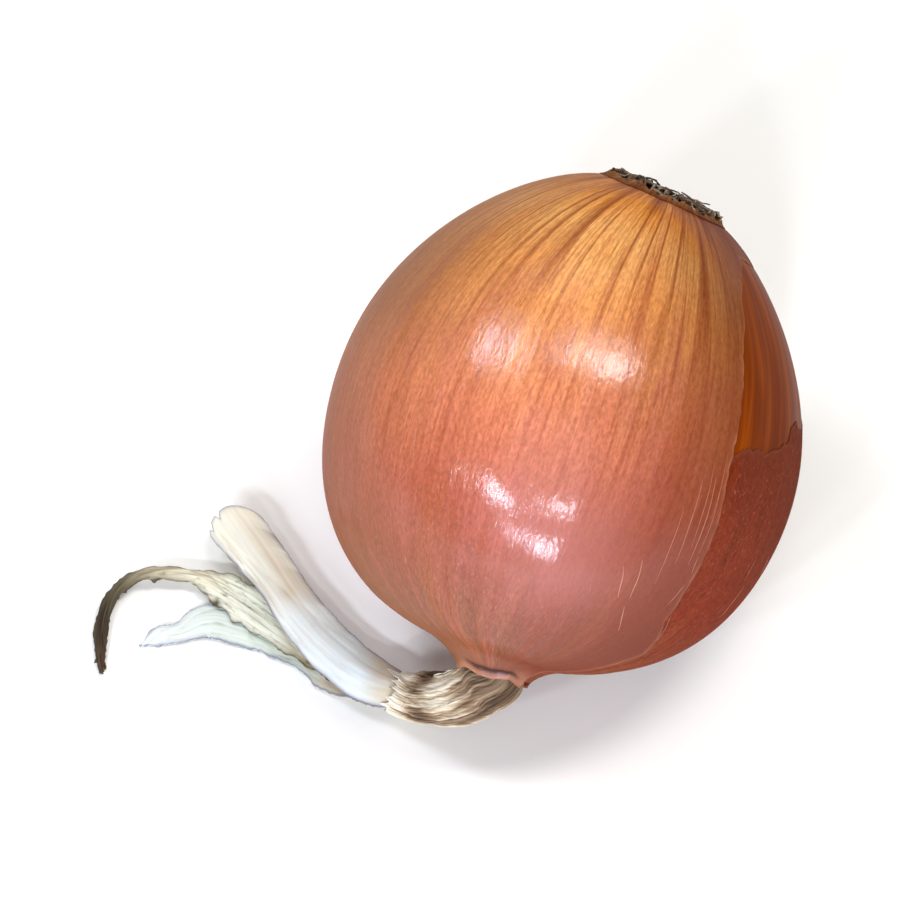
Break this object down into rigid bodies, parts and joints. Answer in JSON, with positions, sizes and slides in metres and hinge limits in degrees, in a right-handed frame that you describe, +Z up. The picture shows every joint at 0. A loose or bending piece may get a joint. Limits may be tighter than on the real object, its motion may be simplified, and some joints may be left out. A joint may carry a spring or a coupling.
{
  "type": "yellow onion",
  "caption": "Yellow onion lying on its side, with a papery copper skin, a matted root end and a dried, bent top of trailing leaves.",
  "frame": {"origin": "on the flat spot under the bulb, where it rests on the surface", "axes": "+Z up; the neck points towards -Y and a little towards -X, and the leaves trail towards -X"},
  "size_m": [0.1138, 0.079, 0.0765],
  "materials": {
    "onion_skin": "papery dry onion skin, copper to amber, satin gloss",
    "dry_roots": "matted dry root stubs on a woody basal plate, matt",
    "dry_neck": "dried and twisted leaf bases, straw and brown, matt",
    "ivory_leaf": "dried leaf, ivory and papery",
    "pale_leaf": "dried leaf, pale greenish white and papery",
    "withered_leaf": "withered leaf, pale green at its sheath and dark olive brown towards its tip"
  },
  "bodies": {
    "root": {"bulb": "onion_skin", "root_crown": "dry_roots", "neck": "dry_neck", "broad_leaf": "ivory_leaf", "withered_leaf": "withered_leaf", "ragged_leaf": "pale_leaf"}
  },
  "joints": []
}
